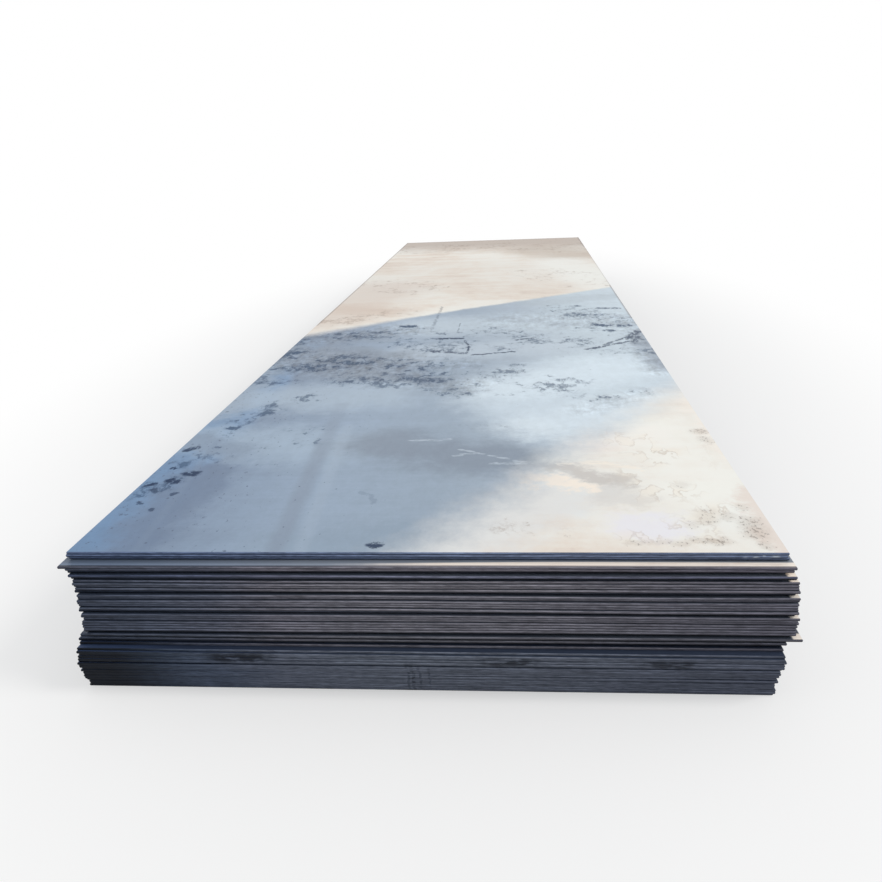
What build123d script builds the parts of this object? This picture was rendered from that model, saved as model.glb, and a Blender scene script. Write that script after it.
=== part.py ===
from build123d import *
import math
import os
import random
from dataclasses import dataclass

# A yard stack of hot-rolled steel plates. A crane set it down in several lifts, so the plates of one
# lift lie almost flush, the lifts stand off one another, and single plates lie pushed back between them.
# X runs across the plates, Y along them with the front end at -Y, and Z is up.

# One plate
plate_length = 8000.0
plate_width = 2000.0
plate_thickness = 8.0
mill_edge_bulge = 1.5  # how far the rolled long edges round outwards at half thickness
width_spare = 25.0  # most that a plate is rolled over its nominal width

# How the plates lie in the stack
seat_gap = 0.3  # air between two plates where they bear on each other
side_reach = 40.0  # furthest that a lift is landed to one side
end_reach = 60.0  # furthest that a lift is pushed back from the front of the stack
turn_reach = 0.3  # largest skew of a lift, in degrees
straggle = 4.0  # furthest that one plate creeps out of its lift
skew_reach = 0.12  # largest skew of one plate against its lift, in degrees
wave_height = 3.0  # height of the tallest wave that the rolling left across a plate
straggle_seed = 4047
skew_seed = 52

# Points along a wave: few for the drawn curve, many for finding where two plates bear
curve_point_count = 13
bearing_point_count = 161


@dataclass(frozen=True)
class Wave:
    """The wave that the rolling left across a plate. Shares are of the wave height and of a whole wave."""

    height_share: float
    count: float = 1.0  # waves across the plate's width
    phase_share: float = 0.0


FLAT = Wave(height_share=0.0)
BROAD_WAVE = Wave(height_share=0.6, count=0.8, phase_share=0.1)
SIDE_WAVE = Wave(height_share=0.8, count=0.9, phase_share=0.35)
HIGH_WAVE = Wave(height_share=1.0, count=1.2, phase_share=0.6)
MIDDLE_WAVE = Wave(height_share=0.7, count=1.0, phase_share=0.15)
SHORT_WAVE = Wave(height_share=0.5, count=1.3, phase_share=0.8)
LOW_WAVE = Wave(height_share=0.5, count=1.1, phase_share=0.4)


@dataclass(frozen=True)
class Lift:
    """Plates that were landed together. Shares are of the reaches and the spare width."""

    plates: int
    side_share: float  # of the front end, towards +X
    end_share: float  # of the front end, towards +Y, so a negative share comes forward
    turn_share: float  # about the front end, anticlockwise seen from above
    wave: Wave = FLAT
    lean_share: float = 0.0  # how much further back the lowest plate lies than the highest
    skew_share: float = 0.0  # how much its plates are skewed against one another
    spare_share: float = 0.0


# From the ground up. A lift of one plate with its end pushed back makes one of the stack's dark slots.
LIFTS = [
    Lift(14, side_share=-0.16, end_share=-0.2, turn_share=0.08, lean_share=0.67, skew_share=0.5),
    Lift(5, side_share=0.03, end_share=-0.24, turn_share=-0.16, skew_share=0.5),
    Lift(1, side_share=0.1, end_share=0.2, turn_share=0.04),
    Lift(1, side_share=0.0, end_share=0.34, turn_share=0.7),
    Lift(2, side_share=0.25, end_share=0.15, turn_share=0.08, wave=BROAD_WAVE, skew_share=0.5),
    Lift(1, side_share=0.9, end_share=0.02, turn_share=0.16, wave=BROAD_WAVE, spare_share=0.5),
    Lift(1, side_share=0.6, end_share=0.18, turn_share=1.0, wave=BROAD_WAVE),
    Lift(7, side_share=0.7, end_share=0.0, turn_share=0.0, wave=SIDE_WAVE, skew_share=1.0),
    Lift(1, side_share=0.5, end_share=0.13, turn_share=0.1, wave=SIDE_WAVE),
    Lift(6, side_share=0.67, end_share=0.0, turn_share=-0.08, wave=HIGH_WAVE, skew_share=1.0),
    Lift(1, side_share=0.42, end_share=0.21, turn_share=0.15, wave=HIGH_WAVE),
    Lift(4, side_share=0.62, end_share=0.0, turn_share=0.04, wave=MIDDLE_WAVE, skew_share=1.0),
    Lift(1, side_share=0.4, end_share=0.13, turn_share=0.65, wave=MIDDLE_WAVE),
    Lift(1, side_share=0.35, end_share=0.0, turn_share=-0.06, wave=SHORT_WAVE),
    Lift(1, side_share=0.12, end_share=0.28, turn_share=0.95, wave=SHORT_WAVE),
    Lift(1, side_share=0.2, end_share=0.0, turn_share=-0.12, wave=LOW_WAVE),
    Lift(1, side_share=-0.1, end_share=0.0, turn_share=0.12, wave=LOW_WAVE, spare_share=1.0),
    Lift(3, side_share=-0.05, end_share=0.67, turn_share=-0.4),
]


@dataclass
class Placed:
    """One plate's place in the stack: its lift, the middle of its front end, its turn in degrees and the
    level it lies at."""

    lift: Lift
    x: float
    y: float
    turn: float
    z: float = 0.0


def rise_at(wave, x):
    """Height of a plate's underside above its lowest level, at x from the plate's centre line."""
    turns = wave.count * x / plate_width + wave.phase_share
    return wave_height * wave.height_share * (1 - math.cos(2 * math.pi * turns)) / 2


def spread(count, low, high):
    """Evenly spaced values from low to high."""
    return [low + (high - low) * step / (count - 1) for step in range(count)]


def half_width(lift):
    """Half the width of a lift's plates, with what they were rolled over their nominal width."""
    return (plate_width + width_spare * lift.spare_share) / 2


def centre_line(plate, along):
    """X of a plate's centre line, at a distance along the plate from its front end."""
    return plate.x - along * math.sin(math.radians(plate.turn))


def bearing_level(below, above):
    """Level at which the upper plate just bears on the lower one, with the seat gap left between them."""
    rises = []
    for along in (0, plate_length):
        below_x = centre_line(below, along)
        above_x = centre_line(above, along)
        low = max(below_x - half_width(below.lift), above_x - half_width(above.lift))
        high = min(below_x + half_width(below.lift), above_x + half_width(above.lift))
        for x in spread(bearing_point_count, low, high):
            rises.append(rise_at(below.lift.wave, x - below_x) - rise_at(above.lift.wave, x - above_x))
    return below.z + plate_thickness + max(rises) + seat_gap


def lay_out():
    """Places every plate, from the ground up."""
    draw = random.Random(straggle_seed)
    skew_draw = random.Random(skew_seed)
    placed = []
    for lift in LIFTS:
        for rank in range(lift.plates):
            depth_share = 1 - rank / max(1, lift.plates - 1)
            back_share = lift.end_share + lift.lean_share * depth_share
            creep_x = straggle * draw.uniform(-1, 1)
            creep_y = straggle * draw.uniform(-1, 1)
            skew = skew_reach * lift.skew_share * skew_draw.uniform(-1, 1)
            turn = turn_reach * lift.turn_share + skew
            x = side_reach * lift.side_share + creep_x
            y = end_reach * back_share + creep_y
            plate = Placed(lift, x, y, turn)
            if placed:
                plate.z = bearing_level(placed[-1], plate)
            placed.append(plate)
    return placed


def plate_solid(lift):
    """One plate: a waved section with rolled long edges, drawn out to its length and sheared square."""
    flank = half_width(lift) - mill_edge_bulge

    def underside(x):
        return Vector(x, 0, rise_at(lift.wave, x))

    rise = Vector(0, 0, plate_thickness)
    if lift.wave.height_share:
        bottom = Spline(*[underside(x) for x in spread(curve_point_count, -flank, flank)])
    else:
        bottom = Line(underside(-flank), underside(flank))
    top = bottom.translate(rise)

    def rolled_edge(side):
        bulge = Vector(side * mill_edge_bulge, 0, 0)
        foot = underside(side * flank)
        return ThreePointArc(foot, foot + bulge + rise / 2, foot + rise)

    section = Face(Wire([bottom, rolled_edge(1), top, rolled_edge(-1)]))
    return Solid.extrude(section, Vector(0, plate_length, 0))


def build_stack():
    """All plates in place, with the middle of the stack's box on the Z axis and its foot at zero."""
    plates = []
    for plate in lay_out():
        plates.append(Pos(plate.x, plate.y, plate.z) * Rot(0, 0, plate.turn) * plate_solid(plate.lift))
    middle = Compound(plates).bounding_box().center()
    return [Pos(-middle.X, -middle.Y, 0) * plate for plate in plates]


os.makedirs("parts", exist_ok=True)
for number, plate in enumerate(build_stack(), start=1):
    export_step(plate, f"parts/plate_{number:02d}.step")
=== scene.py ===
import math
from dataclasses import dataclass

import bpy
from mathutils import Matrix, Vector


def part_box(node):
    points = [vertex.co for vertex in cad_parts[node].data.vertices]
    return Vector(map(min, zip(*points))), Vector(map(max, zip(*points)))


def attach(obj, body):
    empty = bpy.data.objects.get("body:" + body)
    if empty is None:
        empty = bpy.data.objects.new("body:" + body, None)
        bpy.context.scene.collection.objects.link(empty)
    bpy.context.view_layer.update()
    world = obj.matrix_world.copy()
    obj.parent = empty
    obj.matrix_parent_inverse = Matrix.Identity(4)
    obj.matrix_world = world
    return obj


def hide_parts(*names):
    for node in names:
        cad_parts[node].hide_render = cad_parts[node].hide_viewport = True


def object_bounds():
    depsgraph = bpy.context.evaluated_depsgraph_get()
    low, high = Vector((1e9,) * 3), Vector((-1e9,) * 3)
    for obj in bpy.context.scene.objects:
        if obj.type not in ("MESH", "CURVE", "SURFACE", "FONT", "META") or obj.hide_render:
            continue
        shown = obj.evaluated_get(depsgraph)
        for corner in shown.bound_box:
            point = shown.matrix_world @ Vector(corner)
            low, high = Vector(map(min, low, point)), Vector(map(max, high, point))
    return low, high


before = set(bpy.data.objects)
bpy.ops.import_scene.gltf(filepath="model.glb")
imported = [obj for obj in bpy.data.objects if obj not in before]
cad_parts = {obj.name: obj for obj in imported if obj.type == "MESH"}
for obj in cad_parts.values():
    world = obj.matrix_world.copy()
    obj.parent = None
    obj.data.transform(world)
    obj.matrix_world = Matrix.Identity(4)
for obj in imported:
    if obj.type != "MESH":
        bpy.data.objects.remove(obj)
frame_low, frame_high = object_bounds()

MM = 0.001
TOP_PLATE = "plate_52"

# Sizes of a plate that the frame doesn't give, in metres
plate_thickness = 8.0 * MM
rolled_bulge = 1.5 * MM  # how far a rolled long edge rounds outwards
shear_rounding = 1.3 * MM  # roll-over of the upper corner, where the shear blade came down
break_slope = 0.9 * MM  # how far the broken lower half of a sheared end draws back
edge_ripple = 1.2 * MM  # how far a sheared end wanders from a straight line

# Points of a plate's mesh: across, along and through its thickness
plain_grid = (81, 41, 7)
top_grid = (121, 161, 7)
edge_seed = 12


def paint(red, green, blue):
    """A colour as it is seen on a screen, 0 to 255, made linear."""
    def linear(value):
        share = value / 255
        return share / 12.92 if share <= 0.04045 else ((share + 0.055) / 1.055) ** 2.4
    return (linear(red), linear(green), linear(blue), 1.0)


@dataclass(frozen=True)
class LiftLook:
    """How the plates of one lift look, up to and including the plate with this number."""

    last: int
    edge: tuple  # colour of the sheared ends and rolled edges
    face: tuple  # what tints the mill scale on the flat faces; on lower and slot plates a dark tint that is painted shade
    sun_reach: float = 0.0  # how far in from the right edge painted sunlight may lie on the faces, in metres


def tint(red, green, blue):
    """What a colour is multiplied by."""
    return (red, green, blue, 1.0)


OPEN_FACE = tint(1.0, 1.0, 1.0)
# Painted shade: the dark face tints below darken the faces of the lowest lifts and the navy ledge, and of the
# plates around the slots; the dark edge colour is for the ends of the set-back plates deep in the slots
LOW_SHADE_FACE = tint(0.121, 0.145, 0.205)
SLOT_SHADE_FACE = tint(0.26, 0.27, 0.30)
SLOT_SHADE_EDGE = paint(62, 66, 78)
EVERYWHERE = 9.0
LIFT_LOOKS = [
    LiftLook(14, paint(95, 102, 117), LOW_SHADE_FACE),
    LiftLook(19, paint(97, 104, 118), LOW_SHADE_FACE),
    LiftLook(20, paint(114, 114, 124), LOW_SHADE_FACE),
    LiftLook(21, SLOT_SHADE_EDGE, SLOT_SHADE_FACE),
    LiftLook(24, paint(96, 97, 106), SLOT_SHADE_FACE),
    LiftLook(25, SLOT_SHADE_EDGE, SLOT_SHADE_FACE),
    LiftLook(32, paint(107, 107, 117), SLOT_SHADE_FACE),
    LiftLook(33, SLOT_SHADE_EDGE, SLOT_SHADE_FACE),
    LiftLook(39, paint(112, 112, 122), SLOT_SHADE_FACE),
    LiftLook(40, SLOT_SHADE_EDGE, SLOT_SHADE_FACE),
    LiftLook(44, paint(114, 113, 122), SLOT_SHADE_FACE),
    LiftLook(45, SLOT_SHADE_EDGE, SLOT_SHADE_FACE),
    LiftLook(46, paint(98, 101, 119), SLOT_SHADE_FACE),
    LiftLook(47, SLOT_SHADE_EDGE, SLOT_SHADE_FACE),
    LiftLook(49, paint(107, 105, 115), OPEN_FACE, sun_reach=EVERYWHERE),
    LiftLook(52, paint(107, 121, 150), OPEN_FACE, sun_reach=EVERYWHERE),
]
# Plates that floor a slot get a little painted sunlight at their open right end
SLOT_FLOORS = (24, 32, 39, 44, 46)
slot_floor_sun = 0.030

# Between which heights above the ground a tone sets in, in metres
LEDGE_HEIGHTS = (0.400, 0.410)  # the bright ledge and what lies above it
HIGHEST_HEIGHTS = (0.412, 0.418)  # the highest lift
BOTTOM_HEIGHTS = (0.175, 0.165)  # the two lowest lifts
NAVY_HEIGHTS = (0.20, 0.18)  # the navy ledge and what lies below it
SOILED_LEFT = (-0.62, -0.92)  # and between which places across the stack, at its soiled left end


@dataclass(frozen=True)
class Stroke:
    """A mark on the top plate, from one point to another. Places are shares: across is -1 at the left
    edge and 1 at the right, along is 0 at the front end and 1 at the far end. The half width is in mm."""

    start: tuple
    end: tuple
    half_width: float
    strength: float


# Patches where scale has flaked off
FLAKED_STROKES = [
    Stroke((-0.410, 0.386), (-0.370, 0.386), 48, 1.0),
    Stroke((0.790, 0.375), (0.830, 0.374), 52, 1.0),
    Stroke((0.827, 0.354), (0.840, 0.352), 42, 0.88),
    Stroke((0.900, 0.371), (0.950, 0.370), 32, 0.88),
    Stroke((0.627, 0.454), (0.700, 0.455), 32, 0.75),
    Stroke((0.833, 0.443), (0.949, 0.440), 30, 0.88),
    Stroke((-1.000, 0.290), (-0.925, 0.306), 42, 0.88),
    Stroke((-0.980, 0.328), (-0.771, 0.351), 20, 0.62),
    Stroke((0.280, 0.259), (0.320, 0.259), 26, 0.50),
    Stroke((0.350, 0.228), (0.390, 0.228), 30, 0.50),
    Stroke((0.320, 0.222), (0.350, 0.221), 24, 0.45),
    Stroke((0.400, 0.202), (0.430, 0.202), 26, 0.45),
    Stroke((0.200, 0.192), (0.250, 0.192), 28, 0.70),
    Stroke((0.125, 0.201), (0.160, 0.201), 26, 0.55),
    Stroke((0.100, 0.245), (0.140, 0.245), 24, 0.50),
    Stroke((-0.840, 0.162), (-0.750, 0.162), 42, 0.50),
    Stroke((-0.880, 0.140), (-0.860, 0.140), 32, 0.75),
    Stroke((-0.690, 0.185), (-0.640, 0.185), 42, 0.40),
    Stroke((-0.890, 0.126), (-0.860, 0.126), 46, 0.62),
    Stroke((-0.910, 0.115), (-0.890, 0.115), 42, 0.62),
]

# Scuffs where scale has been scraped off
DARK_STROKES = [
    # the hooked scuff in the middle
    Stroke((-0.163, 0.339), (-0.022, 0.339), 20, 1.0),
    Stroke((-0.008, 0.331), (0.027, 0.313), 7, 0.9),
    Stroke((0.027, 0.313), (0.021, 0.293), 7, 1.0),
    Stroke((-0.169, 0.301), (0.002, 0.292), 24, 0.75),
    # dashes to its right
    Stroke((0.056, 0.287), (0.266, 0.294), 12, 1.0),
    Stroke((0.291, 0.329), (0.385, 0.336), 15, 0.88),
    Stroke((0.664, 0.296), (0.957, 0.322), 16, 0.88),
    Stroke((0.763, 0.309), (0.897, 0.329), 12, 0.75),
    Stroke((0.903, 0.326), (0.988, 0.350), 30, 0.88),
    Stroke((0.966, 0.330), (0.930, 0.316), 22, 0.75),
    # lengthwise drag marks
    Stroke((-0.225, 0.470), (-0.226, 0.370), 11, 0.40),
    Stroke((-0.062, 0.394), (-0.061, 0.360), 4, 0.60),
]

# Pits, most of them near the left front corner
PIT_STROKES = [
    Stroke((-0.866, 0.076), (-0.848, 0.076), 27, 1.0),
    Stroke((-0.905, 0.068), (-0.883, 0.066), 20, 1.0),
    Stroke((-0.970, 0.062), (-0.950, 0.064), 14, 1.0),
    Stroke((-0.965, 0.106), (-0.936, 0.110), 17, 1.0),
    Stroke((-0.943, 0.082), (-0.940, 0.083), 13, 1.0),
    Stroke((-0.930, 0.058), (-0.920, 0.056), 14, 0.75),
    Stroke((-0.847, 0.053), (-0.845, 0.054), 11, 0.75),
    Stroke((-0.871, 0.037), (-0.870, 0.037), 11, 0.75),
    Stroke((-0.940, 0.044), (-0.925, 0.043), 9, 0.75),
    Stroke((-0.127, 0.0056), (-0.103, 0.0056), 15, 1.0),
    Stroke((-0.219, 0.053), (-0.185, 0.050), 11, 0.20),
    Stroke((-0.185, 0.050), (-0.163, 0.043), 11, 0.20),
]

# Rust on the dusty side
RUST_STROKES = [
    Stroke((0.969, 0.125), (0.975, 0.124), 26, 0.9),
    Stroke((0.968, 0.115), (0.976, 0.110), 20, 0.6),
    Stroke((0.947, 0.025), (0.942, 0.013), 30, 0.8),
    Stroke((0.948, 0.006), (0.950, 0.004), 16, 0.6),
    Stroke((0.949, 0.036), (0.950, 0.038), 18, 0.5),
    Stroke((0.840, 0.033), (0.834, 0.026), 28, 0.5),
    Stroke((0.893, 0.028), (0.895, 0.030), 22, 0.6),
    Stroke((0.780, 0.022), (0.810, 0.023), 18, 0.4),
    Stroke((0.802, 0.059), (0.810, 0.060), 22, 0.4),
    Stroke((0.720, 0.0065), (0.740, 0.0066), 17, 0.6),
    Stroke((0.760, 0.0093), (0.790, 0.0092), 15, 0.6),
    Stroke((0.810, 0.0087), (0.845, 0.0086), 19, 0.9),
    Stroke((0.588, 0.0075), (0.700, 0.0074), 13, 0.5),
]

# Fresh scratches and crumbs that show pale
BRIGHT_STROKES = [
    Stroke((-0.116, 0.1165), (0.029, 0.1170), 12, 0.85),
    Stroke((0.079, 0.1031), (0.323, 0.0852), 9, 0.8),
    Stroke((0.197, 0.0851), (0.335, 0.0850), 13, 0.9),
    Stroke((0.060, 0.0955), (0.130, 0.0975), 10, 0.8),
    Stroke((0.434, 0.0834), (0.572, 0.0859), 18, 1.0),
    Stroke((0.572, 0.0859), (0.700, 0.0755), 16, 0.9),
    Stroke((0.430, 0.3050), (0.440, 0.3055), 14, 1.0),
]

# Painted shade along the rims of the top plate
RIM_SHADE_STROKES = [
    Stroke((-0.993, 0.400), (-0.983, 1.000), 12, 0.45),
    Stroke((1.007, 0.400), (1.010, 0.560), 12, 0.55),
    Stroke((1.010, 0.560), (1.015, 0.880), 9, 0.25),
    Stroke((1.015, 0.880), (1.017, 1.000), 14, 0.50),
    Stroke((-0.983, 1.000), (1.017, 1.000), 50, 0.20),
]

# Soft dark smears that run across the plate
SMEAR_ZONES = [
    Stroke((-1.05, 0.345), (-0.45, 0.372), 190, 0.9),
    Stroke((-1.04, 0.285), (-0.40, 0.262), 260, 1.0),
    Stroke((-0.45, 0.245), (0.02, 0.212), 150, 0.7),
    Stroke((-0.21, 0.256), (0.02, 0.262), 110, 0.7),
    Stroke((0.30, 0.400), (0.80, 0.395), 260, 0.5),
    Stroke((0.57, 0.162), (0.84, 0.190), 90, 0.5),
    Stroke((0.955, 0.384), (0.965, 0.235), 90, 0.6),
]

# Where scale has flaked off in flecks
FLECK_ZONES = [
    Stroke((-1.03, 0.345), (-0.40, 0.365), 170, 0.85),
    Stroke((-1.00, 0.285), (-0.20, 0.245), 260, 0.95),
    Stroke((-0.40, 0.235), (0.05, 0.205), 170, 0.75),
    Stroke((-1.00, 0.228), (-0.45, 0.225), 120, 0.8),
    Stroke((-0.88, 0.153), (-0.64, 0.195), 90, 0.70),
    Stroke((-0.90, 0.120), (-0.53, 0.125), 130, 0.6),
    Stroke((-0.95, 0.060), (-0.80, 0.120), 110, 0.6),
    Stroke((-0.25, 0.330), (0.95, 0.330), 420, 0.60),
    Stroke((0.00, 0.250), (0.45, 0.205), 200, 0.66),
    Stroke((0.07, 0.135), (0.20, 0.140), 70, 0.40),
    Stroke((0.59, 0.182), (0.84, 0.192), 80, 0.7),
    Stroke((0.60, 0.440), (0.98, 0.370), 200, 0.7),
]

# Fainter flecks in the painted sunlight
SUNLIT_FLECK_ZONES = [
    Stroke((-1.02, 0.405), (-0.50, 0.450), 180, 0.7),
    Stroke((-0.85, 0.620), (-0.50, 0.570), 300, 0.6),
    Stroke((0.50, 0.660), (0.90, 0.580), 300, 0.5),
    Stroke((-0.90, 0.930), (0.90, 0.880), 500, 0.6),
    Stroke((0.25, 0.022), (0.41, 0.016), 60, 0.6),
]

# Where drying water left rings, inside the painted sunlight
RING_ZONES = [
    Stroke((0.80, 0.130), (0.83, 0.080), 110, 0.9),
    Stroke((0.83, 0.080), (0.80, 0.055), 70, 0.9),
    Stroke((0.63, 0.069), (0.73, 0.040), 70, 0.8),
    Stroke((0.76, 0.020), (0.89, 0.030), 80, 0.9),
    Stroke((0.72, 0.120), (0.80, 0.100), 150, 0.6),
    Stroke((0.60, 0.013), (0.84, 0.010), 40, 0.7),
]


@dataclass(frozen=True)
class FrontMark:
    """A mark on the front ends of the plates: its middle and its half size, across and up, in mm."""

    across: float
    up: float
    half_width: float
    half_height: float
    strength: float


# Dark stains on the front
FRONT_STAINS = [
    # drips that ran down the lowest lift
    FrontMark(-40, 58, 4, 58, 0.50),
    FrontMark(-26, 58, 5, 58, 0.70),
    FrontMark(-36, 114, 10, 5, 0.80),
    FrontMark(-5, 62, 4, 52, 0.50),
    FrontMark(22, 66, 3, 46, 0.45),
    # damp patches in the lift above it
    FrontMark(-520, 134, 95, 15, 0.85),
    FrontMark(250, 130, 75, 14, 0.80),
    FrontMark(690, 126, 80, 12, 0.75),
    FrontMark(-930, 125, 70, 22, 0.75),
]

# Pale nicks near the right end of the highest lift
FRONT_NICKS = [
    FrontMark(895, 430, 18, 2.6, 0.9),
    FrontMark(955, 432, 14, 2.6, 0.9),
    FrontMark(930, 433, 5, 2.2, 0.7),
]


@dataclass(frozen=True)
class Shade(Stroke):
    """A soft change of tone along a stroke."""

    colour: tuple


STAIN = paint(130, 143, 159)

# Tones of the scale itself, and a painted sheen
SCALE_SHADES = [
    # painted sheen on the right, and paler scale across the middle
    Shade((0.30, 0.202), (0.72, 0.245), 320, 0.90, paint(220, 234, 244)),
    Shade((0.40, 0.140), (0.95, 0.180), 190, 0.85, paint(226, 238, 246)),
    Shade((0.25, 0.165), (0.60, 0.150), 200, 0.60, paint(210, 224, 235)),
    Shade((-0.20, 0.385), (0.35, 0.385), 330, 0.70, paint(197, 211, 222)),
    Shade((-0.22, 0.295), (0.50, 0.310), 230, 0.60, paint(196, 209, 221)),
    # the stained wedge from the left edge, and the paler scale in front of it
    Shade((-1.03, 0.305), (-0.55, 0.266), 310, 0.82, STAIN),
    Shade((-0.50, 0.250), (-0.02, 0.210), 140, 0.60, STAIN),
    Shade((-0.86, 0.350), (-0.55, 0.355), 180, 0.62, STAIN),
    Shade((-0.55, 0.294), (-0.34, 0.286), 150, 0.60, STAIN),
    Shade((-0.95, 0.188), (-0.35, 0.196), 230, 0.70, paint(174, 191, 207)),
    Shade((-0.95, 0.122), (-0.38, 0.112), 210, 0.60, paint(170, 190, 209)),
    Shade((-0.96, 0.116), (-0.80, 0.108), 110, 0.70, paint(124, 142, 165)),
    Shade((-1.02, 0.262), (-1.02, 0.170), 130, 0.75, paint(150, 166, 184)),
    # a soft grey cloud further forward
    Shade((-0.22, 0.112), (0.22, 0.090), 190, 0.80, paint(126, 139, 156)),
    Shade((-0.35, 0.005), (0.00, 0.012), 110, 0.50, paint(138, 157, 176)),
    # the darker right edge and the mottled patch beside it
    Shade((1.030, 0.345), (1.020, 0.245), 110, 0.60, paint(130, 141, 158)),
    Shade((0.70, 0.400), (0.95, 0.385), 220, 0.25, paint(164, 178, 192)),
    Shade((0.45, 0.475), (0.98, 0.500), 130, 0.50, paint(174, 187, 197)),
    # the purplish band beside the blue strip
    Shade((-0.80, 0.075), (-0.83, -0.020), 110, 0.85, paint(104, 124, 152)),
]

# Lengthwise stripes from the rollers
ROLLER_STRIPES = [
    Shade((-0.477, 0.177), (-0.391, 0.000), 32, 0.30, paint(132, 147, 167)),
    Shade((-0.462, 0.145), (-0.391, 0.000), 32, 0.30, paint(132, 147, 167)),
    Shade((-0.446, 0.113), (-0.391, 0.000), 32, 0.30, paint(132, 147, 167)),
    Shade((-0.390, 0.140), (-0.318, 0.000), 24, 0.30, paint(168, 185, 203)),
    Shade((-0.880, 0.120), (-0.797, 0.000), 14, 0.35, paint(118, 138, 164)),
]

# Tones of the painted sunlight
PAINTED_SUN_SHADES = [
    # the far field: dull at its far end and left side, clean at the right
    Shade((-1.00, 0.660), (0.20, 0.640), 1500, 0.30, paint(214, 206, 198)),
    Shade((-1.00, 1.000), (1.00, 0.970), 900, 0.88, paint(193, 181, 172)),
    Shade((0.55, 0.860), (0.85, 0.800), 420, 0.65, paint(198, 187, 176)),
    Shade((0.72, 0.740), (0.98, 0.560), 300, 0.75, paint(244, 245, 241)),
    Shade((-1.00, 0.430), (-0.75, 0.580), 380, 0.55, paint(216, 202, 192)),
    Shade((-0.90, 0.470), (-0.54, 0.447), 180, 0.45, paint(214, 197, 184)),
    # the near field: a grey wedge and pale pools
    Shade((0.00, 0.000), (0.45, 0.055), 190, 0.75, paint(232, 235, 236)),
    Shade((0.48, 0.114), (0.72, 0.119), 150, 0.70, paint(248, 240, 234)),
    Shade((0.78, 0.140), (0.90, 0.050), 170, 0.60, paint(251, 251, 245)),
    Shade((0.42, 0.079), (0.60, 0.063), 70, 0.85, paint(208, 203, 198)),
    Shade((0.56, 0.050), (0.64, 0.044), 70, 0.40, paint(214, 208, 203)),
    Shade((0.28, 0.0665), (0.50, 0.0565), 52, 0.95, paint(252, 242, 230)),
    Shade((0.62, 0.020), (0.70, 0.022), 90, 0.60, paint(238, 237, 248)),
    Shade((1.01, 0.000), (1.01, 0.050), 60, 0.60, paint(232, 216, 206)),
    Shade((1.01, 0.090), (1.01, 0.230), 50, 0.45, paint(253, 246, 238)),
]


def put(tree, kind, inputs=None, **settings):
    """Adds a node to a tree, sets its properties, and sets or links its inputs."""
    node = tree.nodes.new(kind)
    for name, value in settings.items():
        setattr(node, name, value)
    for key, value in (inputs or {}).items():
        if isinstance(value, bpy.types.NodeSocket):
            tree.links.new(value, node.inputs[key])
        else:
            node.inputs[key].default_value = value
    return node


def number(tree, operation, *values):
    """One step of arithmetic."""
    return put(tree, "ShaderNodeMath", dict(enumerate(values)), operation=operation).outputs[0]


def times(tree, one, other):
    """The product of two numbers."""
    return number(tree, "MULTIPLY", one, other)


def plus(tree, one, other):
    """The sum of two numbers."""
    return number(tree, "ADD", one, other)


def larger(tree, one, other):
    """The larger of two numbers."""
    return number(tree, "MAXIMUM", one, other)


def sloped(tree, value, slope, start):
    """The value times a slope, on top of a start."""
    return number(tree, "MULTIPLY_ADD", value, slope, start)


def kept_in(tree, value):
    """The value, held between 0 and 1."""
    return number(tree, "MINIMUM", larger(tree, value, 0.0), 1.0)


def vector(tree, operation, *values):
    """One step of arithmetic on vectors."""
    node = put(tree, "ShaderNodeVectorMath", dict(enumerate(values)), operation=operation)
    return node.outputs["Value" if operation in ("DOT_PRODUCT", "LENGTH") else "Vector"]


def combine(tree, x, y, z):
    """A vector from three numbers."""
    return put(tree, "ShaderNodeCombineXYZ", {0: x, 1: y, 2: z}).outputs[0]


def fade(tree, value, low, high):
    """Runs smoothly from 0 at low to 1 at high. With low above high it falls instead."""
    inputs = {"Value": value, "From Min": low, "From Max": high}
    return put(tree, "ShaderNodeMapRange", inputs, interpolation_type="SMOOTHSTEP").outputs[0]


def noise(tree, coordinates, stretch, detail=3.0, roughness=0.5):
    """Noise from about 0 to 1, with so many waves to the metre along each axis."""
    scaled = vector(tree, "MULTIPLY", coordinates, stretch)
    inputs = {"Vector": scaled, "Scale": 1.0, "Detail": detail, "Roughness": roughness}
    return put(tree, "ShaderNodeTexNoise", inputs).outputs[0]


# The plates


PLATE_INPUTS = [
    ("Length", "NodeSocketFloat"),
    ("Width", "NodeSocketFloat"),
    ("Thickness", "NodeSocketFloat"),
    ("Points Across", "NodeSocketInt"),
    ("Points Along", "NodeSocketInt"),
    ("Points Through", "NodeSocketInt"),
    ("Front Middle", "NodeSocketVector"),
    ("Turn", "NodeSocketFloat"),
    ("Frame Plate", "NodeSocketObject"),
    ("Rolled Bulge", "NodeSocketFloat"),
    ("Shear Rounding", "NodeSocketFloat"),
    ("Break Slope", "NodeSocketFloat"),
    ("Edge Ripple", "NodeSocketFloat"),
    ("Seed", "NodeSocketFloat"),
    ("Edge Colour", "NodeSocketColor"),
    ("Face Tint", "NodeSocketColor"),
    ("Dust From", "NodeSocketFloat"),
    ("Face Finish", "NodeSocketMaterial"),
    ("Edge Finish", "NodeSocketMaterial"),
]


def store(tree, geometry, name, value, data_type="FLOAT", domain="POINT"):
    """Keeps a value on the mesh under a name, for the finish to read."""
    inputs = {"Geometry": geometry, "Name": name, "Value": value}
    return put(tree, "GeometryNodeStoreNamedAttribute", inputs, data_type=data_type, domain=domain).outputs[0]


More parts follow.
